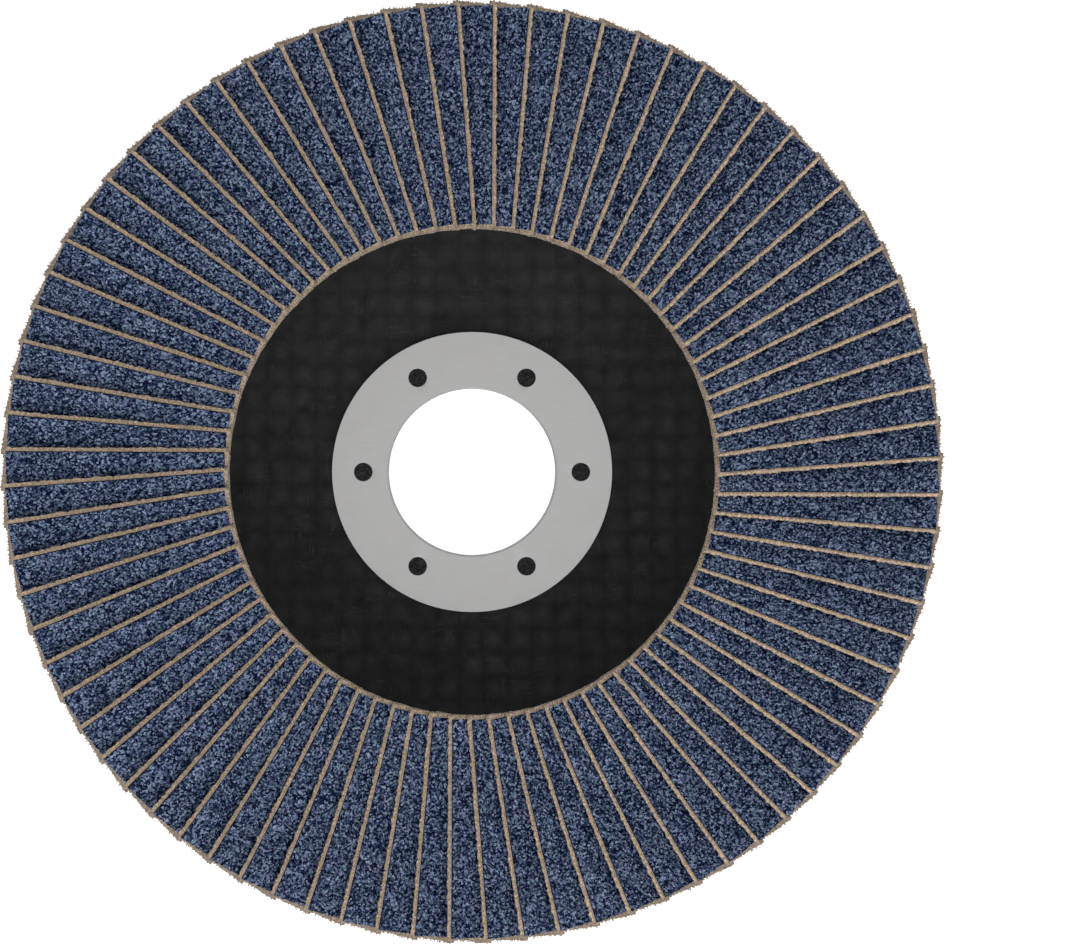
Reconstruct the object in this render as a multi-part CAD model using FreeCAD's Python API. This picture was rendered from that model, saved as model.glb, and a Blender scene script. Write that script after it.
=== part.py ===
import FreeCAD, Part
import math
import os

# Flap disc for an angle grinder: a dished backing plate, a steel centre ring, a bed of adhesive and
# a crown of eighty abrasive flaps that lie on each other like shingles.
# Millimetres. Z is the disc's axis and points out of the abrasive face. The origin is at the middle
# of the bore on the rear face of the hub, which is the face that seats on the grinder's flange.

# Disc
disc_diameter = 125.0
bore_diameter = 22.23

# Backing plate, pressed from glass cloth and resin
plate_thickness = 2.3
dish_depth = 4.6
dish_bend_radius = 3.0
hub_bend_radius = 8.0
hub_margin = 2.0
rim_margin = 1.6
plate_edge_bevel = 0.4
flap_overhang = 4.5

# Centre ring, pressed from sheet steel
ring_sheet = 0.8
flange_width = 7.635
flange_let_in = 0.4
flange_edge_bevel = 0.2
collar_mouth_bevel = 0.25
swage_height = 0.9
swage_reach = 0.7
key_hole_count = 6
key_hole_diameter = 2.43
key_hole_reach = 3.435
key_fill_drop = 0.12

# Flaps
flap_count = 80
flaps_per_group = 2
flap_width = 17.15
flap_inner_reach = 31.88
flap_play = 0.02
first_flap_angle = 4.25
edge_lead = 2.73
cloth_thickness = 0.8
coat_thickness = 0.35
coat_inset_edge = 0.18
coat_inset_inner = 0.5
coat_inset_outer = 0.2

# Adhesive bed
bed_thickness = 0.5
bed_inner_margin = 0.3
bed_outer_margin = 0.8

axis = FreeCAD.Vector(0, 0, 1)
origin = FreeCAD.Vector(0, 0, 0)

# Each flap lies on the one before it. They come closest at their inner ends, where the step from
# free edge to free edge is smallest, and that step and the flap's thickness give the tilt.
flap_pitch = 360.0 / flap_count
flap_thickness = cloth_thickness + coat_thickness
pitch = math.radians(flap_pitch)
inner_step = flap_inner_reach * math.sin(pitch) - edge_lead * (1 - math.cos(pitch))
tilt = math.asin((flap_thickness + flap_play) / inner_step)

# Directions in a flap's cross-section, as (tangential, height): "along" runs up the slope from the
# root to the free edge, and "out" runs out of the coated side.
along = (-math.cos(tilt), math.sin(tilt))
out = (math.sin(tilt), math.cos(tilt))

# Heights of the plate, and the place of a flap's root: the corner of its back face
rim_front = dish_depth + plate_thickness
root_height = rim_front + bed_thickness
root_tangential = -edge_lead - along[0] * flap_width - out[0] * flap_thickness / 2
widest_tangential = root_tangential + out[0] * flap_thickness
flap_outer_reach = math.sqrt((disc_diameter / 2) ** 2 - widest_tangential ** 2)

# Radii, from the bore outwards
bore_radius = bore_diameter / 2
collar_radius = bore_radius + ring_sheet
key_hole_circle_radius = bore_radius + key_hole_reach
flange_radius = bore_radius + flange_width
hub_radius = flange_radius + hub_margin
bed_inner_radius = math.hypot(flap_inner_reach, widest_tangential) + bed_inner_margin
rim_radius = bed_inner_radius - rim_margin
plate_radius = disc_diameter / 2 - flap_overhang
bed_outer_radius = plate_radius - bed_outer_margin

# Heights of the ring's flange
flange_base = plate_thickness - flange_let_in
flange_top = flange_base + ring_sheet


def turned(shape, angle):
    """Give a copy of the shape turned about the disc's axis, in degrees."""
    copy = shape.copy()
    copy.rotate(origin, axis, angle)
    return copy


def corner_arc(before, corner, after, rounding):
    """Find where an arc that rounds the corner starts, its middle and where it ends."""
    back = (before - corner).normalize()
    ahead = (after - corner).normalize()
    half_angle = back.getAngle(ahead) / 2
    run = rounding / math.tan(half_angle)
    middle_run = rounding / math.sin(half_angle) - rounding
    middle = corner + (back + ahead).normalize() * middle_run
    return corner + back * run, middle, corner + ahead * run


def turned_solid(corners):
    """Revolve an outline of (radius, height, rounding) corners about the disc's axis."""
    points = [FreeCAD.Vector(radius, 0, height) for radius, height, rounding in corners]
    count = len(corners)
    arcs = []
    for index, (radius, height, rounding) in enumerate(corners):
        corner = points[index]
        if rounding:
            arcs.append(corner_arc(points[index - 1], corner, points[(index + 1) % count], rounding))
        else:
            arcs.append((corner, corner, corner))
    edges = []
    for index, (start, middle, end) in enumerate(arcs):
        if corners[index][2]:
            edges.append(Part.Arc(start, middle, end).toShape())
        edges.append(Part.LineSegment(end, arcs[(index + 1) % count][0]).toShape())
    return Part.Face(Part.Wire(edges)).revolve(origin, axis, 360)


def key_hole_pins(height):
    """Make cylinders that stand on the flange's seat, on the circle of the ring's small holes."""
    pins = []
    for index in range(key_hole_count):
        pin_foot = FreeCAD.Vector(key_hole_circle_radius, 0, flange_base)
        pin = Part.makeCylinder(key_hole_diameter / 2, height, pin_foot, axis)
        pins.append(turned(pin, index * 360.0 / key_hole_count))
    return pins


def make_backing_plate():
    """Press the plate: flat hub, cone and flat rim, with its resin up in the ring's small holes."""
    slope = math.atan2(dish_depth, rim_radius - hub_radius)
    rear_shift = plate_thickness * math.tan(slope / 2)
    outer_hub_bend = hub_bend_radius + plate_thickness
    outer_rim_bend = dish_bend_radius + plate_thickness
    plate = turned_solid([
        (collar_radius, swage_height, 0),
        (collar_radius + swage_reach, 0, 0),
        (hub_radius + rear_shift, 0, outer_hub_bend),
        (rim_radius + rear_shift, dish_depth, dish_bend_radius),
        (plate_radius - plate_edge_bevel, dish_depth, 0),
        (plate_radius, dish_depth + plate_edge_bevel, 0),
        (plate_radius, rim_front - plate_edge_bevel, 0),
        (plate_radius - plate_edge_bevel, rim_front, 0),
        (rim_radius, rim_front, outer_rim_bend),
        (hub_radius, plate_thickness, hub_bend_radius),
        (flange_radius, plate_thickness, 0),
        (flange_radius, flange_base, 0),
        (collar_radius, flange_base, 0),
    ])
    return plate.fuse(key_hole_pins(ring_sheet - key_fill_drop))


def make_centre_ring():
    """Press the steel ring: a flange with small holes, and a collar swaged into the plate's rear."""
    ring = turned_solid([
        (bore_radius, 0, 0),
        (collar_radius + swage_reach, 0, 0),
        (collar_radius, swage_height, 0),
        (collar_radius, flange_base, 0),
        (flange_radius, flange_base, 0),
        (flange_radius, flange_top - flange_edge_bevel, 0),
        (flange_radius - flange_edge_bevel, flange_top, 0),
        (bore_radius + collar_mouth_bevel, flange_top, 0),
        (bore_radius, flange_top - collar_mouth_bevel, 0),
    ])
    return ring.cut(key_hole_pins(ring_sheet))


def slope_point(up_slope, above_back, reach):
    """Place a point of the flap on the X axis: up its slope, above its back face, along the axis."""
    tangential = root_tangential + along[0] * up_slope + out[0] * above_back
    height = root_height + along[1] * up_slope + out[1] * above_back
    return FreeCAD.Vector(reach, tangential, height)


def make_layer(slope_end, back, front, inner, outer):
    """Make one flat layer of a flap, from the root up the slope and from inner to outer reach."""
    section = Part.makePolygon([
        slope_point(0, back, inner),
        slope_point(slope_end, back, inner),
        slope_point(slope_end, front, inner),
        slope_point(0, front, inner),
        slope_point(0, back, inner),
    ])
    return Part.Face(section).extrude(FreeCAD.Vector(outer - inner, 0, 0))


def make_flap():
    """Make a flap: cloth, with a coat of grain that stops short of its free edge and both ends."""
    cloth = make_layer(flap_width, 0, cloth_thickness, flap_inner_reach, flap_outer_reach)
    coat = make_layer(
        flap_width - coat_inset_edge,
        cloth_thickness,
        flap_thickness,
        flap_inner_reach + coat_inset_inner,
        flap_outer_reach - coat_inset_outer,
    )
    return cloth.fuse(coat).removeSplitter()


def half_space(base, facing):
    """Make a block that fills the side of a plane that the facing direction points to."""
    size = disc_diameter * 2
    block = Part.makeBox(size, size, size, FreeCAD.Vector(-size / 2, -size / 2, 0))
    direction = FreeCAD.Vector(0, facing[0], facing[1])
    block.Placement = FreeCAD.Placement(base, FreeCAD.Rotation(axis, direction))
    return block


def many_sided_post(radius):
    """Make a post that stands on the rim, with as many flat sides as there are flaps."""
    corners = []
    for index in range(flap_count + 1):
        angle = (index + 0.5) * pitch
        corners.append(FreeCAD.Vector(radius * math.cos(angle), radius * math.sin(angle), rim_front))
    return Part.Face(Part.makePolygon(corners)).extrude(axis * flap_width)


def make_adhesive_bed():
    """Cast the bed: one tooth for each flap, with a slope for its back and a step for its root."""
    root = slope_point(0, 0, 0)
    above_back = half_space(root, out)
    beyond_root = half_space(root, (-along[0], -along[1]))
    ring = many_sided_post(bed_outer_radius).cut(many_sided_post(bed_inner_radius))
    size = disc_diameter * 2
    flap_side = Part.makeBox(size, size, size, FreeCAD.Vector(0, -size / 2, 0))
    tooth = ring.common(flap_side).common(turned(beyond_root, -flap_pitch))
    tooth = tooth.cut(above_back).cut(beyond_root)
    teeth = [turned(tooth, first_flap_angle + index * flap_pitch) for index in range(flap_count)]
    return teeth[0].fuse(teeth[1:]).removeSplitter()


def export(name, shape):
    """Write one piece, or one group of pieces, as a STEP file of its own."""
    shape.exportStep("parts/" + name + ".step")


def main():
    """Build every piece and write it out."""
    os.makedirs("parts", exist_ok=True)
    export("backing_plate", make_backing_plate())
    export("centre_ring", make_centre_ring())
    export("adhesive_bed", make_adhesive_bed())
    flap = make_flap()
    crown = [turned(flap, first_flap_angle + index * flap_pitch) for index in range(flap_count)]
    for group, start in enumerate(range(0, flap_count, flaps_per_group), 1):
        flaps = crown[start:start + flaps_per_group]
        export("flap_pair_%02d" % group, Part.makeCompound(flaps))


main()
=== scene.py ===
import math

import bpy
from mathutils import Matrix, Vector


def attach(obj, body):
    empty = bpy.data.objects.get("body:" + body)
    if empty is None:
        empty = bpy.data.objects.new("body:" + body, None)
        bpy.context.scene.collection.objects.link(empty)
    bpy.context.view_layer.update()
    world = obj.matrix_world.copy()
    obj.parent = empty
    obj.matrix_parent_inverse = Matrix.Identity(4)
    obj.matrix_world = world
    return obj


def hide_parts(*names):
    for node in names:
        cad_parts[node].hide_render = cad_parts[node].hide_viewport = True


# The looks of a flap disc that lies on a pale table with its flaps up.
# Metres. Z is the disc's axis, and the disc's own frame is the scene's frame.

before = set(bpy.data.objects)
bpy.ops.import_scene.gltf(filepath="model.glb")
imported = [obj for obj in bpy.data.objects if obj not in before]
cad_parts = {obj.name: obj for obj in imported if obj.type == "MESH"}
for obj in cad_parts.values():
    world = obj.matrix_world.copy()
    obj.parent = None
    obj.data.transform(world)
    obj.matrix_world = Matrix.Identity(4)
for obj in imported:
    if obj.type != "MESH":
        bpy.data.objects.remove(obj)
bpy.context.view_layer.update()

MM = 0.001
WHITE = (1, 1, 1, 1)

# Flaps: the same driving sizes as the solids
FLAP_COUNT = 80
FLAPS_PER_GROUP = 2
FLAP_WIDTH = 17.15 * MM
FLAP_INNER_REACH = 31.88 * MM
FLAP_PLAY = 0.02 * MM
FIRST_FLAP_ANGLE = math.radians(4.25)
EDGE_LEAD = 2.73 * MM
CLOTH = 0.8 * MM
COAT = 0.35 * MM
COAT_INSET_EDGE = 0.18 * MM
COAT_INSET_INNER = 0.5 * MM
COAT_INSET_OUTER = 0.2 * MM

# How finely a flap is cut up for its grain: the strip that its neighbour leaves bare is the finest
COAT_COLUMNS = 140
STRIP_WIDTH = 6.1 * MM
STRIP_INNER_SHARE = 0.62
STRIP_ROWS = 28
ROOT_ROWS = 12
CLOTH_ROWS = 3

# Grain: its relief covers the bare strip and fades out under the next flap
GRAIN_SIZE = 0.24 * MM
LUMP_SIZE = 0.3 * MM
LUMP_RISE = 0.26 * MM
BARE_SHARE = 0.76
HIDDEN_SHARE = 0.92

# Frayed cuts, and the stain on them
FRAY_SIZE = 0.4 * MM
FRAY_REACH = 0.5 * MM
FRAY_PROUD = 0.04 * MM
CUT_STAIN = 0.4 * MM
CUT_TINT = (0.62, 0.66, 0.74, 1)

# Worn end of the coat at the rim: it starts and is complete at these distances from the free edge
WORN_FROM = 9.0 * MM
WORN_FULLY = 15.0 * MM
WORN_REACH = 0.6 * MM

# Fringe at the rim: thread ends and finer fibres, in two layers of the cloth. How far they stand out
# goes by a wave, with this turn from one to the next, and they curl toward their tips.
THREAD_LENGTH = 0.7 * MM
THREAD_RADIUS = 0.1 * MM
THREAD_PITCH = 0.37 * MM
THREAD_PROUD = 0.1 * MM
THREAD_SIDES = 6
THREAD_CUTS = 2
FIBRE_RADIUS = 0.045 * MM
FIBRE_PITCH = 0.26 * MM
FIBRE_PROUD = 0.2 * MM
FIBRE_SIDES = 3
FIBRE_CUTS = 1
LOWER_LAYER = 0.3
UPPER_LAYER = 0.72
WAVE_TURN = 2.4
CURL = 0.4 * MM
CURL_START = THREAD_LENGTH / 3
CURL_RUN = THREAD_LENGTH / 2

# Rows of a flap's own map for baked pictures, as shares of its height: the bare strip is the largest
STRIP_ROW = (0.01, 0.47)
EDGE_ROW = (0.49, 0.55)
INNER_ROW = (0.57, 0.62)
OUTER_ROW = (0.64, 0.69)
HIDDEN_ROW = (0.68, 0.78)
BACK_ROW = (0.79, 0.85)
ROOT_ROW = (0.86, 0.87)
THREAD_ROWS = ((0.88, 0.91), (0.92, 0.95))
FIBRE_ROWS = ((0.96, 0.99),)
ROW_MARGIN = 0.01
CELL_MARGIN = 0.05

# Disc, backing plate and centre ring: the same sizes as the solids
DISC_RADIUS = 62.5 * MM
BORE_RADIUS = 11.115 * MM
RING_SHEET = 0.8 * MM
FLANGE_WIDTH = 7.635 * MM
FLANGE_LET_IN = 0.4 * MM
SWAGE_HEIGHT = 0.9 * MM
SWAGE_REACH = 0.7 * MM
KEY_HOLE_COUNT = 6
KEY_HOLE_RADIUS = 1.215 * MM
KEY_HOLE_REACH = 3.435 * MM
KEY_FILL_DROP = 0.12 * MM
PLATE_THICKNESS = 2.3 * MM
DISH_DEPTH = 4.6 * MM
DISH_BEND_RADIUS = 3.0 * MM
HUB_BEND_RADIUS = 8.0 * MM
HUB_MARGIN = 2.0 * MM
RIM_MARGIN = 1.6 * MM
PLATE_EDGE_BEVEL = 0.4 * MM
FLAP_OVERHANG = 4.5 * MM
BED_THICKNESS = 0.5 * MM
BED_INNER_MARGIN = 0.3 * MM

# Trim and fineness of the plate and the ring
MOUTH_ROUND = 0.25 * MM
MOUTH_STEPS = 5
# Painted shade on the rounded mouth of the bore: this tint darkens the steel's colour from this radius in
# to the bore
MOUTH_SHADE_UP_TO = 11.48 * MM
MOUTH_SHADE_TINT = (0.72, 0.72, 0.72, 1)
EDGE_BREAK = 0.08 * MM
EDGE_BREAK_STEPS = 3
EDGE_BREAK_FROM = math.radians(50)
PLUG_FOOT = 0.3 * MM
POST_SIDES = 48
RING_STEPS = 192
PLATE_STEPS = 256
BEND_STEPS = 8

# Laminate
YARN_PITCH = 3.2 * MM
YARN_WANDER = 1.1 * MM

# Limits for picking, merging and shading
SLACK = 0.001 * MM
NEARLY_FACING = 0.9
NEARLY_ALONG = 0.99
SMOOTH_UP_TO = math.radians(35)

# Geometry that follows from the sizes above, as in the solids
FLAP_THICKNESS = CLOTH + COAT
PITCH = 2 * math.pi / FLAP_COUNT
INNER_STEP = FLAP_INNER_REACH * math.sin(PITCH) - EDGE_LEAD * (1 - math.cos(PITCH))
TILT = math.asin((FLAP_THICKNESS + FLAP_PLAY) / INNER_STEP)
RIM_FRONT = DISH_DEPTH + PLATE_THICKNESS
ROOT_HEIGHT = RIM_FRONT + BED_THICKNESS
EDGE_TANGENTIAL = -EDGE_LEAD - math.sin(TILT) * FLAP_THICKNESS / 2
EDGE_HEIGHT = ROOT_HEIGHT + math.sin(TILT) * FLAP_WIDTH
ROOT_TANGENTIAL = EDGE_TANGENTIAL + math.cos(TILT) * FLAP_WIDTH
WIDEST_TANGENTIAL = ROOT_TANGENTIAL + math.sin(TILT) * FLAP_THICKNESS
FLAP_OUTER_REACH = math.sqrt(DISC_RADIUS ** 2 - WIDEST_TANGENTIAL ** 2)
FLAP_LENGTH = FLAP_OUTER_REACH - FLAP_INNER_REACH
COAT_INNER_REACH = FLAP_INNER_REACH + COAT_INSET_INNER
COAT_OUTER_REACH = FLAP_OUTER_REACH - COAT_INSET_OUTER
CUT_END = FLAP_OUTER_REACH + FRAY_PROUD
CROWN_TOP = EDGE_HEIGHT + math.cos(TILT) * FLAP_THICKNESS
COLLAR_RADIUS = BORE_RADIUS + RING_SHEET
FLANGE_RADIUS = BORE_RADIUS + FLANGE_WIDTH
FLANGE_BASE = PLATE_THICKNESS - FLANGE_LET_IN
FLANGE_TOP = FLANGE_BASE + RING_SHEET
KEY_CIRCLE_RADIUS = BORE_RADIUS + KEY_HOLE_REACH
HUB_RADIUS = FLANGE_RADIUS + HUB_MARGIN
BED_INNER_RADIUS = math.hypot(FLAP_INNER_REACH, WIDEST_TANGENTIAL) + BED_INNER_MARGIN
RIM_RADIUS = BED_INNER_RADIUS - RIM_MARGIN
PLATE_RADIUS = DISC_RADIUS - FLAP_OVERHANG

# Camera, table and light
IMAGE_WIDTH = 1074
IMAGE_HEIGHT = 948
DISC_PIXEL_X = 472.06
DISC_PIXEL_Y = 471.96
PIXELS_PER_METRE = 7653
SENSOR_WIDTH = 36
CAMERA_RISE = 600 * MM
CAMERA_NEAREST = 10 * MM
FLOOR_SIZE = 40.0
FLOOR_DROP = 0.02 * MM
SKY_STRENGTH = 0.76


# Hand tools: small steps that every piece below is made with

def pick_up(piece):
    """Deselect everything and make this piece the only selected and active one."""
    bpy.ops.object.select_all(action="DESELECT")
    piece.select_set(True)
    bpy.context.view_layer.objects.active = piece


def pick_faces(piece, test):
    """Leave the piece in edit mode with the faces selected whose middle and normal pass the test."""
    bpy.ops.object.mode_set(mode="EDIT")
    bpy.ops.mesh.select_mode(type="FACE")
    bpy.ops.mesh.select_all(action="DESELECT")
    bpy.ops.object.mode_set(mode="OBJECT")
    for face in piece.data.polygons:
        face.select = test(face.center, face.normal)
    bpy.ops.object.mode_set(mode="EDIT")


def pick_edges(piece, test):
    """Leave the piece in edit mode with the edges selected whose two ends pass the test."""
    bpy.ops.object.mode_set(mode="EDIT")
    bpy.ops.mesh.select_mode(type="EDGE")
    bpy.ops.mesh.select_all(action="DESELECT")
    bpy.ops.object.mode_set(mode="OBJECT")
    points = [vertex.co for vertex in piece.data.vertices]
    for edge in piece.data.edges:
        edge.select = test(points[edge.vertices[0]], points[edge.vertices[1]])
    bpy.ops.object.mode_set(mode="EDIT")


def divide_along(piece, direction, low, high, cuts):
    """Divide the edges that run along one axis between two places on it."""

    def runs_between(a, b):
        near, far = sorted((a[direction], b[direction]))
        is_along = far - near >= (b - a).length * NEARLY_ALONG
        return is_along and near > low - SLACK and far < high + SLACK

    pick_edges(piece, runs_between)
    bpy.ops.mesh.subdivide(number_cuts=cuts)


def apply_modifiers(piece):
    """Apply the piece's modifiers in their order."""
    pick_up(piece)
    for modifier in list(piece.modifiers):
        bpy.ops.object.modifier_apply(modifier=modifier.name)


def place_of_its_own(piece):
    """Put the piece's place and turn into its mesh."""
    pick_up(piece)
    bpy.ops.object.transform_apply(location=True, rotation=True, scale=True)


def smooth(piece):
    """Shade the piece smooth up to its corners, with its large faces flat."""
    pick_up(piece)
    bpy.ops.object.shade_smooth_by_angle(angle=SMOOTH_UP_TO)
    level = piece.modifiers.new("level", "WEIGHTED_NORMAL")
    level.keep_sharp = True
    apply_modifiers(piece)


def copy_of(piece):
    """Copy the piece, with a mesh of its own."""
    pick_up(piece)
    bpy.ops.object.duplicate(linked=False)
    return bpy.context.object


def join_to(piece, others):
    """Join other objects into the piece."""
    pick_up(piece)
    for other in others:
        other.select_set(True)
    bpy.ops.object.join()


def finish_piece(piece, name, nodes):
    """Name a finished piece, put it on the disc and hide the solids it stands for."""
    piece.name = name
    piece.data.name = name
    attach(piece, "root")
    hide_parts(*nodes)


def lathe(corners, steps):
    """Turn a closed shell about the disc's axis by extruding a circle from corner to corner."""
    bpy.ops.object.select_all(action="DESELECT")
    radius, height = corners[0]
    bpy.ops.mesh.primitive_circle_add(vertices=steps, radius=radius, location=(0, 0, height))
    shell = bpy.context.object
    place_of_its_own(shell)
    bpy.ops.object.mode_set(mode="EDIT")
    bpy.ops.mesh.select_mode(type="EDGE")
    bpy.ops.mesh.select_all(action="SELECT")
    for next_radius, next_height in corners[1:] + corners[:1]:
        bpy.ops.mesh.extrude_edges_move()
        growth = next_radius / radius
        bpy.ops.transform.resize(value=(growth, growth, 1), center_override=(0, 0, height))
        bpy.ops.transform.translate(value=(0, 0, next_height - height))
        radius, height = next_radius, next_height
    bpy.ops.mesh.select_all(action="SELECT")
    bpy.ops.mesh.remove_doubles(threshold=SLACK)
    bpy.ops.mesh.normals_make_consistent(inside=False)
    bpy.ops.object.mode_set(mode="OBJECT")
    return shell


def bend(before, corner, after, rounding, steps):
    """Round a corner of a turned outline: the points of an arc that touches both sides."""
    corner = Vector(corner)
    back = (Vector(before) - corner).normalized()
    ahead = (Vector(after) - corner).normalized()
    half_angle = back.angle(ahead) / 2
    run = rounding / math.tan(half_angle)
    centre = corner + (back + ahead).normalized() * rounding / math.sin(half_angle)
    first = corner + back * run - centre
    last = corner + ahead * run - centre
    points = []
    for step in range(steps + 1):
        spoke = first.slerp(last, step / steps)
        points.append(tuple(centre + spoke.normalized() * rounding))
    return points


# Material tools

def start_material(name):
    """Start a material with a Principled BSDF, and give its node tree and that shader."""
    material = bpy.data.materials.new(name)
    material.use_nodes = True
    tree = material.node_tree
    shader = next(node for node in tree.nodes if node.type == "BSDF_PRINCIPLED")
    return material, tree, shader


def start_group(name, inputs, outputs):
    """Start a shader group with named inputs, given with their defaults, and named outputs."""
    group = bpy.data.node_groups.new(name, "ShaderNodeTree")
    for label, kind, value in inputs:
        socket = group.interface.new_socket(label, in_out="INPUT", socket_type=kind)
        if value is not None:
            socket.default_value = value
    for label, kind in outputs:
        group.interface.new_socket(label, in_out="OUTPUT", socket_type=kind)
    return group, group.nodes.new("NodeGroupInput"), group.nodes.new("NodeGroupOutput")


def use_group(tree, group):
    """Place a shader group in a node tree."""
    node = tree.nodes.new("ShaderNodeGroup")
    node.node_tree = group
    return node


def feed(tree, socket, value):
    """Link a socket's result to an input, or set a plain value on the input."""
    if isinstance(value, bpy.types.NodeSocket):
        tree.links.new(value, socket)
    else:
        socket.default_value = value


def calculate(tree, operation, *terms):
    """Add a Math node on numbers or sockets and give its result."""
    node = tree.nodes.new("ShaderNodeMath")
    node.operation = operation
    for slot, term in enumerate(terms):
        feed(tree, node.inputs[slot], term)
    return node.outputs[0]


def blend_colours(tree, share, first, second, kind="MIX"):
    """Add a colour Mix node on colours or sockets and give its result."""
    node = tree.nodes.new("ShaderNodeMix")
    node.data_type = "RGBA"
    node.blend_type = kind
    feed(tree, node.inputs[0], share)
    feed(tree, node.inputs[6], first)
    feed(tree, node.inputs[7], second)
    return node.outputs[2]


def multiply_colours(tree, first, second):
    """Tint one colour with another."""
    return blend_colours(tree, 1.0, first, second, "MULTIPLY")


def colour_steps(tree, value, stops):
    """Add a Color Ramp over (place, colour) stops and give its colour."""
    node = tree.nodes.new("ShaderNodeValToRGB")
    ramp = node.color_ramp
    ramp.elements[0].position, ramp.elements[0].color = stops[0]
    ramp.elements[1].position, ramp.elements[1].color = stops[-1]
    for position, colour in stops[1:-1]:
        ramp.elements.new(position).color = colour
    tree.links.new(value, node.inputs[0])
    return node.outputs[0]


def object_place(tree):
    """Give the Object coordinates."""
    return tree.nodes.new("ShaderNodeTexCoord").outputs["Object"]


def wandering_place(tree, place, size, reach):
    """Shift a place by a cloudy noise, so that a pattern on it loses its straight lines."""
    cloud = tree.nodes.new("ShaderNodeTexNoise")
    cloud.inputs["Scale"].default_value = 1 / size
    tree.links.new(place, cloud.inputs["Vector"])
    shift = tree.nodes.new("ShaderNodeVectorMath")
    shift.operation = "MULTIPLY_ADD"
    shift.inputs[1].default_value = reach
    tree.links.new(cloud.outputs["Color"], shift.inputs[0])
    tree.links.new(place, shift.inputs[2])
    return shift.outputs[0]


def stretched_place(tree, place, scale):
    """Stretch a place along its axes."""
    stretch = tree.nodes.new("ShaderNodeMapping")
    stretch.inputs["Scale"].default_value = scale
    tree.links.new(place, stretch.inputs["Vector"])
    return stretch.outputs[0]


def noise(tree, place, size, detail=2.0, roughness=0.5):
    """Add a noise whose lumps have about this size in metres and give its value."""
    node = tree.nodes.new("ShaderNodeTexNoise")
    node.inputs["Scale"].default_value = 1 / size
    node.inputs["Detail"].default_value = detail
    node.inputs["Roughness"].default_value = roughness
    tree.links.new(place, node.inputs["Vector"])
    return node.outputs["Fac"]


def rise(tree, value, start, end):
    """Add a Map Range node that goes from 0 at the start to 1 at the end and give its result."""
    node = tree.nodes.new("ShaderNodeMapRange")
    node.inputs["From Min"].default_value = start
    node.inputs["From Max"].default_value = end
    tree.links.new(value, node.inputs["Value"])
    return node.outputs["Result"]


def raise_surface(tree, shader, height, distance, strength):
    """Feed a height into the shader's normal through a Bump node."""
    bump = tree.nodes.new("ShaderNodeBump")
    bump.inputs["Distance"].default_value = distance
    bump.inputs["Strength"].default_value = strength
    tree.links.new(height, bump.inputs["Height"])
    tree.links.new(bump.outputs["Normal"], shader.inputs["Normal"])


# Shader groups

def make_mottle_group():
    """Cloudy variation between two values, for colours and gloss that aren't quite even."""
    group, given, result = start_group(
        "mottle",
        [
            ("Place", "NodeSocketVector", None),
            ("Lump size", "NodeSocketFloat", 0.005),
            ("Low", "NodeSocketFloat", 0.0),
            ("High", "NodeSocketFloat", 1.0),
        ],
        [("Value", "NodeSocketFloat")],
    )
    cloud = group.nodes.new("ShaderNodeTexNoise")
    cloud.inputs["Detail"].default_value = 3.0
    scale = calculate(group, "DIVIDE", 1.0, given.outputs["Lump size"])
    group.links.new(scale, cloud.inputs["Scale"])
    group.links.new(given.outputs["Place"], cloud.inputs["Vector"])
    spread = group.nodes.new("ShaderNodeMapRange")
    spread.inputs["From Min"].default_value = 0.3
    spread.inputs["From Max"].default_value = 0.7
    group.links.new(cloud.outputs["Fac"], spread.inputs["Value"])
    group.links.new(given.outputs["Low"], spread.inputs["To Min"])
    group.links.new(given.outputs["High"], spread.inputs["To Max"])
    group.links.new(spread.outputs["Result"], result.inputs["Value"])
    return group


def make_weave_group():
    """Plain weave: how high the thread on top stands, and which of the two thread runs is on top."""
    group, given, result = start_group(
        "plain_weave",
        [
            ("Place", "NodeSocketVector", None),
            ("Thread pitch", "NodeSocketFloat", 0.001),
            ("Roundness", "NodeSocketFloat", 0.6),
        ],
        [("Height", "NodeSocketFloat"), ("Warp on top", "NodeSocketFloat")],
    )
    split = group.nodes.new("ShaderNodeSeparateXYZ")
    group.links.new(given.outputs["Place"], split.inputs[0])
    turn = calculate(group, "DIVIDE", math.pi, given.outputs["Thread pitch"])
    across = calculate(group, "SINE", calculate(group, "MULTIPLY", split.outputs[0], turn))
    down = calculate(group, "SINE", calculate(group, "MULTIPLY", split.outputs[1], turn))
    crossing = calculate(group, "MULTIPLY", across, down)
    bulge = calculate(group, "ABSOLUTE", crossing)
    height = calculate(group, "POWER", bulge, given.outputs["Roundness"])
    warp = calculate(group, "GREATER_THAN", crossing, 0.0)
    group.links.new(height, result.inputs["Height"])
    group.links.new(warp, result.inputs["Warp on top"])
    return group


mottle_group = make_mottle_group()
weave_group = make_weave_group()


def mottle(tree, place, size, low, high):
    """Place the cloudy variation and give its value."""
    node = use_group(tree, mottle_group)
    tree.links.new(place, node.inputs["Place"])
    node.inputs["Lump size"].default_value = size
    node.inputs["Low"].default_value = low
    node.inputs["High"].default_value = high
    return node.outputs["Value"]


def weave(tree, place, pitch, roundness):
    """Place the plain weave and give its height and which thread is on top."""
    node = use_group(tree, weave_group)
    tree.links.new(place, node.inputs["Place"])
    node.inputs["Thread pitch"].default_value = pitch
    node.inputs["Roundness"].default_value = roundness
    return node.outputs["Height"], node.outputs["Warp on top"]


# Materials

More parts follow.
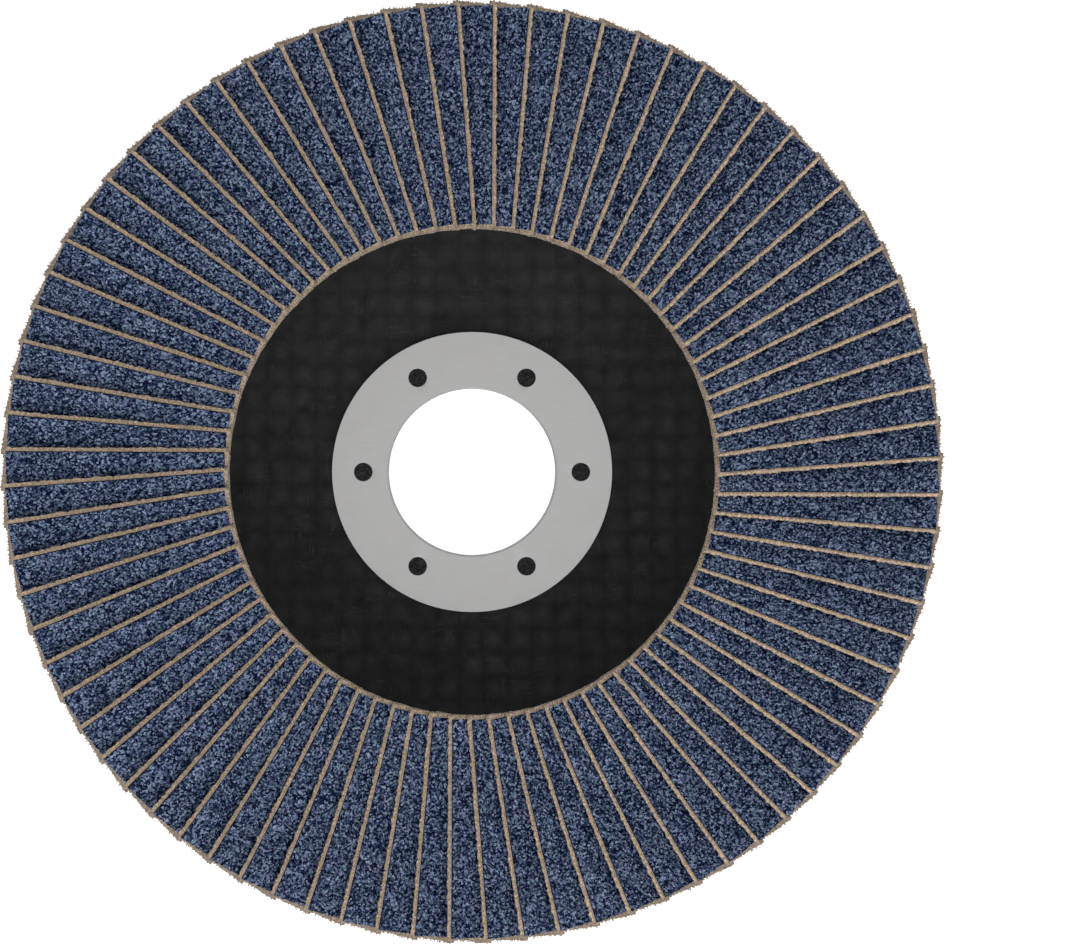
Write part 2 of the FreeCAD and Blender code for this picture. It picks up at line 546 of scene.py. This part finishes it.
def make_grain_material():
    """Blue zirconia grain in resin: each grain has its own tone, with painted shade in its pits and a
    painted highlight on its tips from its relief.
    """
    material, tree, shader = start_material("blue_grain")
    place = object_place(tree)
    wandering = wandering_place(tree, place, size=0.3 * MM, reach=(0.14 * MM, 0.14 * MM, 0.14 * MM))
    cells = tree.nodes.new("ShaderNodeTexVoronoi")
    cells.inputs["Scale"].default_value = 1 / GRAIN_SIZE
    tree.links.new(wandering, cells.inputs["Vector"])
    shade = tree.nodes.new("ShaderNodeSeparateColor")
    tree.links.new(cells.outputs["Color"], shade.inputs[0])
    specks = noise(tree, place, size=0.17 * MM, detail=3.0, roughness=0.6)
    # Painted shade and highlight: the grain's height over the coat darkens its pits and lightens its tips
    relief = tree.nodes.new("ShaderNodeAttribute")
    relief.attribute_name = "grain_height"
    of_cell = calculate(tree, "MULTIPLY", shade.outputs[0], 0.5)
    of_specks = calculate(tree, "MULTIPLY", specks, 0.6)
    relief_shade_and_highlight = calculate(tree, "MULTIPLY", relief.outputs["Fac"], 0.2)
    total = calculate(tree, "ADD", calculate(tree, "ADD", of_cell, of_specks), relief_shade_and_highlight)
    colour = colour_steps(tree, total, [
        (0.41, (0.0005, 0.0030, 0.0190, 1)),
        (0.47, (0.0070, 0.0160, 0.0480, 1)),
        (0.54, (0.0250, 0.0410, 0.0890, 1)),
        (0.60, (0.0520, 0.0760, 0.1410, 1)),
        (0.67, (0.0960, 0.1280, 0.2130, 1)),
        (0.74, (0.1560, 0.2000, 0.3080, 1)),
        (0.84, (0.2900, 0.3500, 0.4900, 1)),
    ])
    cast = colour_steps(tree, mottle(tree, place, size=0.6 * MM, low=0.0, high=1.0), [
        (0.0, (0.84, 1.02, 0.90, 1)),
        (0.5, (1.00, 1.00, 1.00, 1)),
        (1.0, (1.14, 0.98, 1.12, 1)),
    ])
    cloud = mottle(tree, place, size=4 * MM, low=0.9, high=1.1)
    tinted = multiply_colours(tree, multiply_colours(tree, colour, cloud), cast)
    tree.links.new(tinted, shader.inputs["Base Color"])
    gloss = calculate(tree, "MULTIPLY_ADD", shade.outputs[1], 0.35, 0.35)
    tree.links.new(gloss, shader.inputs["Roughness"])
    shader.inputs["Specular IOR Level"].default_value = 0.05
    raise_surface(tree, shader, total, distance=0.1 * MM, strength=0.7)
    return material


def make_cloth_material():
    """Resin-bonded cloth: peach and tan threads with painted shade in the hollows of the weave, browner
    and duller where the cut ends fray.
    """
    material, tree, shader = start_material("tan_cloth")
    place = object_place(tree)
    flat = tree.nodes.new("ShaderNodeUVMap")
    flat.uv_map = "cloth_place"
    height, _ = weave(tree, flat.outputs[0], pitch=0.7 * MM, roundness=0.6)
    base = colour_steps(tree, mottle(tree, place, size=0.6 * MM, low=0.0, high=1.0), [
        (0.0, (0.53, 0.455, 0.240, 1)),
        (0.5, (0.59, 0.460, 0.330, 1)),
        (1.0, (0.67, 0.440, 0.370, 1)),
    ])
    # Painted shade: the colour darkens where the weave lies low between the threads
    thread = calculate(tree, "MULTIPLY_ADD", height, 0.35, 0.7)
    fibre = mottle(tree, place, size=0.22 * MM, low=0.45, high=1.5)
    tinted = multiply_colours(tree, multiply_colours(tree, base, thread), fibre)
    split = tree.nodes.new("ShaderNodeSeparateXYZ")
    tree.links.new(flat.outputs[0], split.inputs[0])
    reach = split.outputs[0]
    inner_cut = rise(tree, reach, FLAP_INNER_REACH + CUT_STAIN, FLAP_INNER_REACH)
    outer_cut = rise(tree, reach, FLAP_OUTER_REACH - CUT_STAIN, FLAP_OUTER_REACH)
    cut = calculate(tree, "MAXIMUM", inner_cut, outer_cut)
    stain = blend_colours(tree, cut, WHITE, CUT_TINT)
    tree.links.new(multiply_colours(tree, tinted, stain), shader.inputs["Base Color"])
    tree.links.new(mottle(tree, place, size=2 * MM, low=0.7, high=0.9), shader.inputs["Roughness"])
    shader.inputs["Specular IOR Level"].default_value = 0.25
    raise_surface(tree, shader, height, distance=0.1 * MM, strength=0.6)
    return material


def make_laminate_material():
    """Black glass-cloth laminate: broad flat yarns that show here and there, partly in their own tone and
    partly as painted sheen on their raised parts and painted shade in the hollows, and pale creases.
    """
    material, tree, shader = start_material("black_laminate")
    place = object_place(tree)
    wandering = wandering_place(tree, place, size=6 * MM, reach=(YARN_WANDER, YARN_WANDER, 0))
    centring = (YARN_PITCH - YARN_WANDER) / 2
    middle = tree.nodes.new("ShaderNodeMapping")
    middle.inputs["Location"].default_value = (centring, centring, 0)
    tree.links.new(wandering, middle.inputs["Vector"])
    pillow, upright = weave(tree, middle.outputs[0], pitch=YARN_PITCH, roundness=0.9)
    pillow = calculate(tree, "MULTIPLY", pillow, mottle(tree, place, size=8 * MM, low=0.15, high=0.65))
    fibres = []
    for scale in ((1, 0.12, 1), (0.12, 1, 1)):
        stretched = stretched_place(tree, place, scale)
        fibres.append(noise(tree, stretched, size=0.4 * MM, detail=3.0, roughness=0.7))
    fibre = tree.nodes.new("ShaderNodeMix")
    tree.links.new(upright, fibre.inputs[0])
    tree.links.new(fibres[1], fibre.inputs[2])
    tree.links.new(fibres[0], fibre.inputs[3])
    creased = calculate(tree, "MAXIMUM", mottle(tree, place, size=5 * MM, low=-1.4, high=1.3), 0.0)
    crease = calculate(tree, "MULTIPLY", rise(tree, fibre.outputs[0], 0.50, 0.66), creased)
    crinkle = mottle(tree, place, size=1.6 * MM, low=-0.22, high=0.22)
    height = calculate(tree, "ADD", pillow, calculate(tree, "MULTIPLY", fibre.outputs[0], 0.5))
    height = calculate(tree, "ADD", height, calculate(tree, "ADD", crinkle, crease))
    # The colour follows the relief: partly the yarns' own tone, partly painted sheen on raised yarns and
    # painted shade in the hollows
    base = colour_steps(tree, height, [
        (0.10, (0.0013, 0.0013, 0.0013, 1)),
        (0.70, (0.0110, 0.0110, 0.0111, 1)),
        (1.00, (0.0190, 0.0190, 0.0190, 1)),
    ])
    tree.links.new(base, shader.inputs["Base Color"])
    tree.links.new(mottle(tree, place, size=3 * MM, low=0.5, high=0.62), shader.inputs["Roughness"])
    shader.inputs["Specular IOR Level"].default_value = 0.18
    raise_surface(tree, shader, height, distance=0.1 * MM, strength=0.7)
    return material


def make_filler_material():
    """Black resin that filled the ring's small holes: rough and speckled with dust."""
    material, tree, shader = start_material("hole_filler")
    place = object_place(tree)
    speckle = noise(tree, place, size=0.24 * MM, detail=2.0, roughness=0.6)
    base = colour_steps(tree, speckle, [
        (0.38, (0.0005, 0.0005, 0.0005, 1)),
        (0.50, (0.0070, 0.0068, 0.0066, 1)),
        (0.62, (0.0290, 0.0275, 0.0265, 1)),
    ])
    tree.links.new(base, shader.inputs["Base Color"])
    tree.links.new(mottle(tree, place, size=0.5 * MM, low=0.5, high=0.8), shader.inputs["Roughness"])
    shader.inputs["Specular IOR Level"].default_value = 0.2
    raise_surface(tree, shader, speckle, distance=0.1 * MM, strength=0.8)
    return material


def make_steel_material():
    """Pressed steel with the fine lines of rolled sheet, and painted shade round the bore's mouth."""
    material, tree, shader = start_material("pressed_steel")
    place = object_place(tree)
    rolled = stretched_place(tree, place, (0.06, 1, 1))
    lines = noise(tree, rolled, size=0.15 * MM, detail=4.0, roughness=0.6)
    shade = colour_steps(tree, lines, [
        (0.3, (0.500, 0.495, 0.492, 1)),
        (0.7, (0.540, 0.535, 0.532, 1)),
    ])
    from_axis = tree.nodes.new("ShaderNodeVectorMath")
    from_axis.operation = "MULTIPLY"
    from_axis.inputs[1].default_value = (1, 1, 0)
    tree.links.new(place, from_axis.inputs[0])
    radius = tree.nodes.new("ShaderNodeVectorMath")
    radius.operation = "LENGTH"
    tree.links.new(from_axis.outputs[0], radius.inputs[0])
    # Painted shade: the steel's colour darkens toward the bore's rounded mouth
    mouth = rise(tree, radius.outputs["Value"], MOUTH_SHADE_UP_TO, BORE_RADIUS)
    mouth_shaded = blend_colours(tree, mouth, WHITE, MOUTH_SHADE_TINT)
    tree.links.new(multiply_colours(tree, shade, mouth_shaded), shader.inputs["Base Color"])
    shader.inputs["Metallic"].default_value = 1.0
    tree.links.new(mottle(tree, place, size=2.5 * MM, low=0.50, high=0.58), shader.inputs["Roughness"])
    raise_surface(tree, shader, lines, distance=0.01 * MM, strength=0.3)
    return material


def make_resin_material():
    """Cured adhesive: dark, a little brown, with soft runs in its gloss."""
    material, tree, shader = start_material("cured_adhesive")
    place = object_place(tree)
    base = colour_steps(tree, mottle(tree, place, size=3 * MM, low=0.0, high=1.0), [
        (0.0, (0.020, 0.014, 0.010, 1)),
        (1.0, (0.050, 0.034, 0.022, 1)),
    ])
    tree.links.new(base, shader.inputs["Base Color"])
    tree.links.new(mottle(tree, place, size=1.5 * MM, low=0.45, high=0.65), shader.inputs["Roughness"])
    shader.inputs["Specular IOR Level"].default_value = 0.3
    raise_surface(tree, shader, noise(tree, place, size=0.8 * MM), distance=0.3 * MM, strength=0.8)
    return material


grain = make_grain_material()
cloth = make_cloth_material()
laminate = make_laminate_material()
filler = make_filler_material()
steel = make_steel_material()
resin = make_resin_material()


# Flaps: each is made flat first, back on Z = 0, free edge at Y = 0, root at Y = the flap's width

def strip_share(reach):
    """Tell how wide the bare strip is at this reach, as a share of its width at the rim."""
    share = (reach - FLAP_INNER_REACH) / FLAP_LENGTH
    return STRIP_INNER_SHARE + (1 - STRIP_INNER_SHARE) * share


def make_cloth_block():
    """Cut up a flat block of cloth: finely where the grain and the frayed edges will be."""
    bpy.ops.object.select_all(action="DESELECT")
    middle = (FLAP_INNER_REACH + FLAP_LENGTH / 2, FLAP_WIDTH / 2, CLOTH / 2)
    bpy.ops.mesh.primitive_cube_add(size=1, location=middle, scale=(FLAP_LENGTH, FLAP_WIDTH, CLOTH))
    flap = bpy.context.object
    place_of_its_own(flap)
    bpy.ops.object.mode_set(mode="EDIT")
    for point, normal in (
        ((COAT_INNER_REACH, 0, 0), (1, 0, 0)),
        ((COAT_OUTER_REACH, 0, 0), (1, 0, 0)),
        ((0, COAT_INSET_EDGE, 0), (0, 1, 0)),
        ((0, STRIP_WIDTH, 0), (0, 1, 0)),
    ):
        bpy.ops.mesh.select_all(action="SELECT")
        bpy.ops.mesh.bisect(plane_co=point, plane_no=normal, threshold=SLACK)
    divide_along(flap, 0, COAT_INNER_REACH, COAT_OUTER_REACH, COAT_COLUMNS - 1)
    divide_along(flap, 0, FLAP_INNER_REACH, COAT_INNER_REACH, 1)
    divide_along(flap, 1, COAT_INSET_EDGE, STRIP_WIDTH, STRIP_ROWS - 1)
    divide_along(flap, 1, STRIP_WIDTH, FLAP_WIDTH, ROOT_ROWS - 1)
    divide_along(flap, 2, 0, CLOTH, CLOTH_ROWS - 1)
    return flap


def raise_coat(flap):
    """Raise the coat off the cloth, and make one face of each side that stays out of sight."""

    def is_coated(middle, normal):
        is_inside = COAT_INNER_REACH < middle.x < COAT_OUTER_REACH and middle.y > COAT_INSET_EDGE
        return normal.z > NEARLY_FACING and is_inside

    def is_hidden_top(middle, normal):
        is_top = normal.z > NEARLY_FACING and middle.z > FLAP_THICKNESS - SLACK
        return is_top and middle.y > STRIP_WIDTH

    def is_back(middle, normal):
        return normal.z < -NEARLY_FACING

    def is_root(middle, normal):
        return normal.y > NEARLY_FACING and middle.y > FLAP_WIDTH - SLACK

    pick_faces(flap, is_coated)
    bpy.ops.mesh.extrude_region_move(TRANSFORM_OT_translate={"value": (0, 0, COAT)})
    for side in (is_hidden_top, is_back, is_root):
        pick_faces(flap, side)
        bpy.ops.mesh.dissolve_faces()
    bpy.ops.object.mode_set(mode="OBJECT")
    flap.data.materials.append(cloth)
    flap.data.materials.append(grain)
    for face in flap.data.polygons:
        if face.center.z > CLOTH + SLACK:
            face.material_index = 1


def lay_bake_map(flap):
    """Give the flat flap a map for baked pictures: one row for each of its sides."""
    bake_map = flap.data.uv_layers["UVMap"]
    bake_map.name = "OFBake"
    for face in flap.data.polygons:
        middle, normal = face.center, face.normal
        is_top = normal.z > NEARLY_FACING and middle.z > FLAP_THICKNESS - SLACK
        is_edge = middle.y < COAT_INSET_EDGE + SLACK and abs(normal.x) < NEARLY_FACING
        for index in face.loop_indices:
            x, y, z = flap.data.vertices[flap.data.loops[index].vertex_index].co
            place = (x - FLAP_INNER_REACH) / FLAP_LENGTH
            if is_top and middle.y < STRIP_WIDTH:
                row, share = STRIP_ROW, y / STRIP_WIDTH
            elif is_top:
                row, share = HIDDEN_ROW, y / FLAP_WIDTH
            elif normal.z < -NEARLY_FACING:
                row, share = BACK_ROW, y / FLAP_WIDTH
            elif normal.y > NEARLY_FACING:
                row, share = ROOT_ROW, z / FLAP_THICKNESS
            elif is_edge:
                row, share = EDGE_ROW, (y + z) / (COAT_INSET_EDGE + FLAP_THICKNESS)
            elif middle.x < FLAP_INNER_REACH + FLAP_LENGTH / 2:
                place = y / FLAP_WIDTH
                row, share = INNER_ROW, (x - FLAP_INNER_REACH + z) / (COAT_INSET_INNER + FLAP_THICKNESS)
            else:
                place = y / FLAP_WIDTH
                row, share = OUTER_ROW, (FLAP_OUTER_REACH - x + z) / (COAT_INSET_OUTER + FLAP_THICKNESS)
            bake_map.data[index].uv = (
                ROW_MARGIN + place * (1 - 2 * ROW_MARGIN),
                row[0] + share * (row[1] - row[0]),
            )


def lay_cloth_map(piece):
    """Give the piece a map that lies along the cloth, in metres, for its weave."""
    cloth_map = piece.data.uv_layers.new(name="cloth_place")
    for loop in piece.data.loops:
        point = piece.data.vertices[loop.vertex_index].co
        cloth_map.data[loop.index].uv = (point.x, point.y - point.z)


def shape_flap(flap):
    """Let the outer cut stand out, wear the coat's end, and narrow the strip toward the inner end."""
    for vertex in flap.data.vertices:
        if vertex.co.x > COAT_OUTER_REACH - SLACK:
            vertex.co.x += FRAY_PROUD
        at_coat_end = abs(vertex.co.x - COAT_OUTER_REACH - FRAY_PROUD) < SLACK
        if at_coat_end and vertex.co.z > CLOTH - SLACK:
            worn = (vertex.co.y - WORN_FROM) / (WORN_FULLY - WORN_FROM)
            vertex.co.x -= WORN_REACH * min(max(worn, 0), 1)
        if COAT_INSET_EDGE < vertex.co.y <= STRIP_WIDTH + SLACK:
            from_coat_edge = vertex.co.y - COAT_INSET_EDGE
            vertex.co.y = COAT_INSET_EDGE + from_coat_edge * strip_share(vertex.co.x)


def make_flat_flap():
    """Make one flap flat, with its maps."""
    flap = make_cloth_block()
    raise_coat(flap)
    lay_bake_map(flap)
    lay_cloth_map(flap)
    shape_flap(flap)
    return flap


def make_loose_ends(radius, sides, cuts, pitch, proud, rows):
    """Set a row of loose ends in the cloth's outer cut, by turns in its upper and lower half."""
    bpy.ops.object.select_all(action="DESELECT")
    bpy.ops.mesh.primitive_cylinder_add(
        vertices=sides, radius=radius, depth=THREAD_LENGTH, rotation=(0, math.pi / 2, 0)
    )
    loose_end = bpy.context.object
    place_of_its_own(loose_end)
    divide_along(loose_end, 0, -THREAD_LENGTH / 2, THREAD_LENGTH / 2, cuts)
    bpy.ops.object.mode_set(mode="OBJECT")
    loose_end.data.materials.append(cloth)
    loose_end.data.uv_layers.active.name = "OFBake"
    count = int(FLAP_WIDTH / pitch)
    cells = math.ceil(count / len(rows))
    ends = []
    for index in range(count):
        end = copy_of(loose_end)
        low, high = rows[index % len(rows)]
        for corner in end.data.uv_layers.active.data:
            in_cell = CELL_MARGIN + corner.uv.x * (1 - 2 * CELL_MARGIN)
            across = (index // len(rows) + in_cell) / cells
            corner.uv = (across, low + corner.uv.y * (high - low))
        layer = LOWER_LAYER if index % 2 else UPPER_LAYER
        reach = CUT_END - THREAD_LENGTH / 2 + proud * (1 + math.sin(index * WAVE_TURN))
        end.location = (reach, (index + 0.5) * pitch, CLOTH * layer)
        place_of_its_own(end)
        ends.append(end)
    bpy.data.objects.remove(loose_end)
    join_to(ends[0], ends[1:])
    return ends[0]


def make_fringe():
    """Make the fringe of the cloth's outer cut: thread ends, and finer fibres between them."""
    fringe = make_loose_ends(
        THREAD_RADIUS, THREAD_SIDES, THREAD_CUTS, THREAD_PITCH, THREAD_PROUD, THREAD_ROWS
    )
    fibres = make_loose_ends(
        FIBRE_RADIUS, FIBRE_SIDES, FIBRE_CUTS, FIBRE_PITCH, FIBRE_PROUD, FIBRE_ROWS
    )
    join_to(fringe, [fibres])
    lay_cloth_map(fringe)
    return fringe


def weigh_flap(flap):
    """Mark what the grain may lift and what may fray, by vertex group."""
    lifted = flap.vertex_groups.new(name="grain")
    frayed = flap.vertex_groups.new(name="fray")
    for vertex in flap.data.vertices:
        x, y, z = vertex.co
        down = (y - COAT_INSET_EDGE) / (STRIP_WIDTH * strip_share(x))
        if z > CLOTH + SLACK and down < HIDDEN_SHARE:
            weight = min(1.0, (HIDDEN_SHARE - down) / (HIDDEN_SHARE - BARE_SHARE))
            lifted.add([vertex.index], weight, "REPLACE")
        at_edge = y < COAT_INSET_EDGE - SLACK
        at_end = x < FLAP_INNER_REACH + SLACK or abs(x - CUT_END) < SLACK
        if z < CLOTH + SLACK and (at_edge or at_end):
            frayed.add([vertex.index], 1.0, "REPLACE")


def weigh_fringe(fringe):
    """Mark the loose part of the fringe, which curls more toward the tips."""
    curled = fringe.vertex_groups.new(name="curl")
    for vertex in fringe.data.vertices:
        loose = (vertex.co.x - CUT_END + CURL_START) / CURL_RUN
        if loose > 0:
            curled.add([vertex.index], min(loose, 1.0), "REPLACE")


def pattern(name, kind, size):
    """Make a displacement pattern whose lumps have this size."""
    texture = bpy.data.textures.new(name, kind)
    texture.noise_scale = size
    return texture


def displace(flap, group, kind, strength, direction="NORMAL"):
    """Move a vertex group of the flap by a pattern that is fixed in space."""
    modifier = flap.modifiers.new(group, "DISPLACE")
    modifier.direction = direction
    modifier.texture = kind
    modifier.texture_coords = "LOCAL"
    modifier.vertex_group = group
    modifier.strength = strength
    modifier.mid_level = 0.5


def note_grain_height(flap, angle):
    """Keep how far each point stands over or under the coat's plane, for the grain's painted shade in the
    pits and painted highlight on the tips.
    """
    attribute = flap.data.attributes.new("grain_height", "FLOAT", "POINT")
    out = Matrix.Rotation(angle, 3, "Z") @ Vector((0, math.sin(TILT), math.cos(TILT)))
    foot = Matrix.Rotation(angle, 3, "Z") @ Vector((0, EDGE_TANGENTIAL, EDGE_HEIGHT))
    level = foot.dot(out) + CLOTH + COAT
    for vertex in flap.data.vertices:
        attribute.data[vertex.index].value = (vertex.co.dot(out) - level) / LUMP_RISE


def make_flaps():
    """Tilt the flat flap, set copies of it round the disc and give each its own grain and fray."""
    flat = make_flat_flap()
    weigh_flap(flat)
    fringe = make_fringe()
    weigh_fringe(fringe)
    join_to(flat, [fringe])
    grain_pattern = pattern("grain_lumps", "VORONOI", LUMP_SIZE)
    fray_pattern = pattern("fray_lumps", "CLOUDS", FRAY_SIZE)
    fray_pattern.noise_depth = 2
    curl_pattern = pattern("thread_curl", "CLOUDS", FRAY_SIZE)
    curl_pattern.cloud_type = "COLOR"
    for index in range(FLAP_COUNT):
        angle = FIRST_FLAP_ANGLE + index * PITCH
        flap = copy_of(flat)
        flap.rotation_euler = (-TILT, 0, angle)
        flap.location = Matrix.Rotation(angle, 3, "Z") @ Vector((0, EDGE_TANGENTIAL, EDGE_HEIGHT))
        place_of_its_own(flap)
        displace(flap, "grain", grain_pattern, LUMP_RISE)
        displace(flap, "fray", fray_pattern, FRAY_REACH)
        displace(flap, "curl", curl_pattern, CURL, "RGB_TO_XYZ")
        apply_modifiers(flap)
        note_grain_height(flap, angle)
        group = index // FLAPS_PER_GROUP + 1
        finish_piece(flap, "flap_%02d" % (index + 1), ["flap_pair_%02d" % group])
    bpy.data.objects.remove(flat)


make_flaps()


# Centre ring and backing plate

def key_posts(radius, base, top):
    """Stand a post on each of the ring's small holes, turned so that it cuts no edge at a corner."""
    posts = []
    for index in range(KEY_HOLE_COUNT):
        angle = index * 2 * math.pi / KEY_HOLE_COUNT
        x = KEY_CIRCLE_RADIUS * math.cos(angle)
        y = KEY_CIRCLE_RADIUS * math.sin(angle)
        bpy.ops.object.select_all(action="DESELECT")
        bpy.ops.mesh.primitive_cylinder_add(
            vertices=POST_SIDES,
            radius=radius,
            depth=top - base,
            location=(x, y, (base + top) / 2),
            rotation=(0, 0, math.pi / POST_SIDES),
        )
        post = bpy.context.object
        place_of_its_own(post)
        posts.append(post)
    return posts


def make_ring():
    """Turn the flange and the collar, cut the six holes and break every edge."""
    mouth = bend(
        (FLANGE_RADIUS, FLANGE_TOP), (BORE_RADIUS, FLANGE_TOP), (BORE_RADIUS, 0), MOUTH_ROUND, MOUTH_STEPS
    )
    ring = lathe(
        [
            (COLLAR_RADIUS + SWAGE_REACH, 0),
            (COLLAR_RADIUS, SWAGE_HEIGHT),
            (COLLAR_RADIUS, FLANGE_BASE),
            (FLANGE_RADIUS, FLANGE_BASE),
            (FLANGE_RADIUS, FLANGE_TOP),
            *mouth,
            (BORE_RADIUS, 0),
        ],
        RING_STEPS,
    )
    posts = key_posts(KEY_HOLE_RADIUS, FLANGE_BASE - RING_SHEET, FLANGE_TOP + RING_SHEET)
    for post in posts:
        cut = ring.modifiers.new("hole", "BOOLEAN")
        cut.operation = "DIFFERENCE"
        cut.solver = "EXACT"
        cut.object = post
        apply_modifiers(ring)
        bpy.data.objects.remove(post)
    edges = ring.modifiers.new("edges", "BEVEL")
    edges.width = EDGE_BREAK
    edges.segments = EDGE_BREAK_STEPS
    edges.limit_method = "ANGLE"
    edges.angle_limit = EDGE_BREAK_FROM
    apply_modifiers(ring)
    smooth(ring)
    ring.data.materials.append(steel)
    finish_piece(ring, "ring", ["centre_ring"])


def make_plate():
    """Turn the dished plate, and set the resin that fills the ring's small holes on it."""
    slope = math.atan2(DISH_DEPTH, RIM_RADIUS - HUB_RADIUS)
    rear_shift = PLATE_THICKNESS * math.tan(slope / 2)
    rear_hub = (HUB_RADIUS + rear_shift, 0)
    rear_rim = (RIM_RADIUS + rear_shift, DISH_DEPTH)
    front_rim = (RIM_RADIUS, RIM_FRONT)
    front_hub = (HUB_RADIUS, PLATE_THICKNESS)
    rear_edge = (PLATE_RADIUS - PLATE_EDGE_BEVEL, DISH_DEPTH)
    front_edge = (PLATE_RADIUS - PLATE_EDGE_BEVEL, RIM_FRONT)
    seat = (FLANGE_RADIUS, PLATE_THICKNESS)
    outer_hub_bend = HUB_BEND_RADIUS + PLATE_THICKNESS
    outer_rim_bend = DISH_BEND_RADIUS + PLATE_THICKNESS
    plate = lathe(
        [
            (COLLAR_RADIUS, SWAGE_HEIGHT),
            (COLLAR_RADIUS + SWAGE_REACH, 0),
            *bend((COLLAR_RADIUS, 0), rear_hub, rear_rim, outer_hub_bend, BEND_STEPS),
            *bend(rear_hub, rear_rim, rear_edge, DISH_BEND_RADIUS, BEND_STEPS),
            rear_edge,
            (PLATE_RADIUS, DISH_DEPTH + PLATE_EDGE_BEVEL),
            (PLATE_RADIUS, RIM_FRONT - PLATE_EDGE_BEVEL),
            front_edge,
            *bend(front_edge, front_rim, front_hub, outer_rim_bend, BEND_STEPS),
            *bend(front_rim, front_hub, seat, HUB_BEND_RADIUS, BEND_STEPS),
            seat,
            (FLANGE_RADIUS, FLANGE_BASE),
            (COLLAR_RADIUS, FLANGE_BASE),
        ],
        PLATE_STEPS,
    )
    plate.data.materials.append(laminate)
    plugs = key_posts(KEY_HOLE_RADIUS, FLANGE_BASE - PLUG_FOOT, FLANGE_TOP - KEY_FILL_DROP)
    for plug in plugs:
        plug.data.materials.append(filler)
    join_to(plate, plugs)
    smooth(plate)
    finish_piece(plate, "plate", ["backing_plate"])


make_ring()
make_plate()

# The adhesive bed keeps its solid and only gets its look
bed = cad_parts["adhesive_bed"]
bed.material_slots[0].material = resin


# Stage, camera and light

def make_floor():
    """Lay a plain white table under the disc."""
    bpy.ops.object.select_all(action="DESELECT")
    bpy.ops.mesh.primitive_plane_add(size=FLOOR_SIZE, location=(0, 0, -FLOOR_DROP))
    floor = bpy.context.object
    place_of_its_own(floor)
    material, tree, shader = start_material("white_table")
    tone = mottle(tree, object_place(tree), size=0.4, low=0.90, high=0.92)
    tree.links.new(tone, shader.inputs["Base Color"])
    shader.inputs["Roughness"].default_value = 0.9
    shader.inputs["Specular IOR Level"].default_value = 0.0
    shader.inputs["Emission Color"].default_value = WHITE
    shader.inputs["Emission Strength"].default_value = 0.7
    floor.data.materials.append(material)
    floor.name = "table"


def add_softbox(name, azimuth, elevation, distance, size, watts):
    """Hang a square soft light that faces the disc from this direction."""
    azimuth, elevation = math.radians(azimuth), math.radians(elevation)
    direction = Vector((
        math.cos(elevation) * math.cos(azimuth),
        math.cos(elevation) * math.sin(azimuth),
        math.sin(elevation),
    ))
    bpy.ops.object.light_add(type="AREA", location=direction * distance)
    light = bpy.context.object
    light.name = name
    light.data.size = size
    light.data.energy = watts
    light.rotation_euler = direction.to_track_quat("Z", "Y").to_euler()


def make_sky():
    """Surround the table with even white light."""
    world = bpy.data.worlds.new("studio")
    world.use_nodes = True
    background = next(node for node in world.node_tree.nodes if node.type == "BACKGROUND")
    background.inputs["Color"].default_value = WHITE
    background.inputs["Strength"].default_value = SKY_STRENGTH
    bpy.context.scene.world = world


def set_camera():
    """Look straight down from above the bore, shifted so that the disc lies as in the photograph."""
    bpy.ops.object.camera_add(location=(0, 0, CROWN_TOP + CAMERA_RISE), rotation=(0, 0, 0))
    camera = bpy.context.object
    camera.data.sensor_width = SENSOR_WIDTH
    camera.data.lens = PIXELS_PER_METRE * CAMERA_RISE * SENSOR_WIDTH / IMAGE_WIDTH
    camera.data.shift_x = (IMAGE_WIDTH / 2 - DISC_PIXEL_X) / IMAGE_WIDTH
    camera.data.shift_y = -(IMAGE_HEIGHT / 2 - DISC_PIXEL_Y) / IMAGE_WIDTH
    camera.data.clip_start = CAMERA_NEAREST
    bpy.context.scene.camera = camera


make_floor()
make_sky()
add_softbox("main_light", azimuth=-98, elevation=38, distance=1.0, size=0.7, watts=3.0)
add_softbox("side_light", azimuth=-25, elevation=50, distance=1.0, size=0.5, watts=1.0)
set_camera()
bpy.context.scene.view_settings.view_transform = "Standard"
